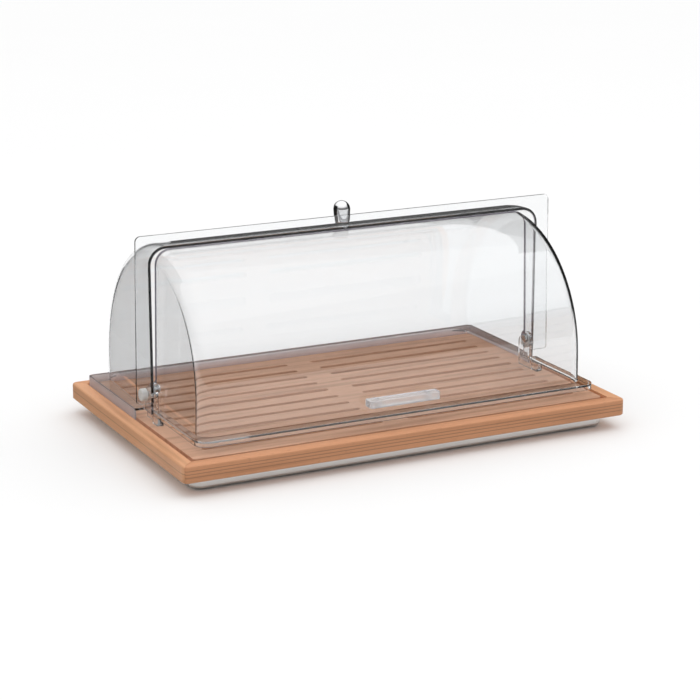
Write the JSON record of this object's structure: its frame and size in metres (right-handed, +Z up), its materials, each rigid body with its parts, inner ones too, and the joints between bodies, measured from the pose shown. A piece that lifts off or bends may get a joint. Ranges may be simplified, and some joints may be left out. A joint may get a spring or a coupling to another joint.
{
  "type": "roll-top bread display",
  "caption": "Slotted beech bread board in a wooden frame over a metal crumb tray, under a clear roll-top cover whose front shell swings up and back inside the rear shell.",
  "frame": {"origin": "on the table, under the middle of the base", "axes": "+X along the front to the right, -Y out of the front, +Z up"},
  "size_m": [0.565, 0.36, 0.268],
  "materials": {
    "beech": "oiled beech, fine straight grain, softly rounded edges",
    "tray_metal": "satin brushed sheet metal",
    "clear_cover": "clear polished polycarbonate, 2.8 mm wall",
    "clear_fittings": "clear moulded plastic",
    "white_plastic": "white moulded plastic",
    "chrome": "polished chrome",
    "steel": "plain stainless steel",
    "rubber": "soft matt rubber"
  },
  "bodies": {
    "base": {"crumb_tray": "tray_metal", "foot_front_left": "rubber", "foot_front_right": "rubber", "foot_rear_left": "rubber", "foot_rear_right": "rubber", "rail_front": "beech", "rail_rear": "beech", "rail_left": "beech", "rail_right": "beech", "corner_tongue_front_left": "beech", "corner_tongue_front_right": "beech", "corner_tongue_rear_left": "beech", "corner_tongue_rear_right": "beech", "tray_screw_1": "steel", "tray_screw_2": "steel", "tray_screw_3": "steel", "tray_screw_4": "steel", "tray_screw_5": "steel", "tray_screw_6": "steel"},
    "board": {"slotted_board": "beech"},
    "rear_cover": {"rear_shell": "clear_cover", "knob": "chrome", "knob_washer": "rubber", "knob_screw": "steel", "hinge_bracket_left": "clear_fittings", "hinge_bracket_right": "clear_fittings", "hinge_cap_left": "white_plastic", "hinge_cap_right": "white_plastic", "pivot_pin_left": "steel", "pivot_pin_right": "steel", "pivot_washer_left": "white_plastic", "pivot_washer_right": "white_plastic"},
    "front_cover": {"front_shell": "clear_cover", "handle_bar": "clear_fittings", "handle_screw_left": "steel", "handle_screw_right": "steel"}
  },
  "joints": [
    {"name": "board_lift", "type": "slide", "parent": "base", "child": "board", "axis": [0, 0, 1], "range_m": [0, 0.05]},
    {"name": "cover_lift", "type": "slide", "parent": "board", "child": "rear_cover", "axis": [0, 0, 1], "range_m": [0, 0.15]},
    {"name": "front_swing", "type": "hinge", "parent": "rear_cover", "child": "front_cover", "pos_m": [0, -0.012, 0.075], "axis": [-1, 0, 0], "range_deg": [0, 95]}
  ]
}
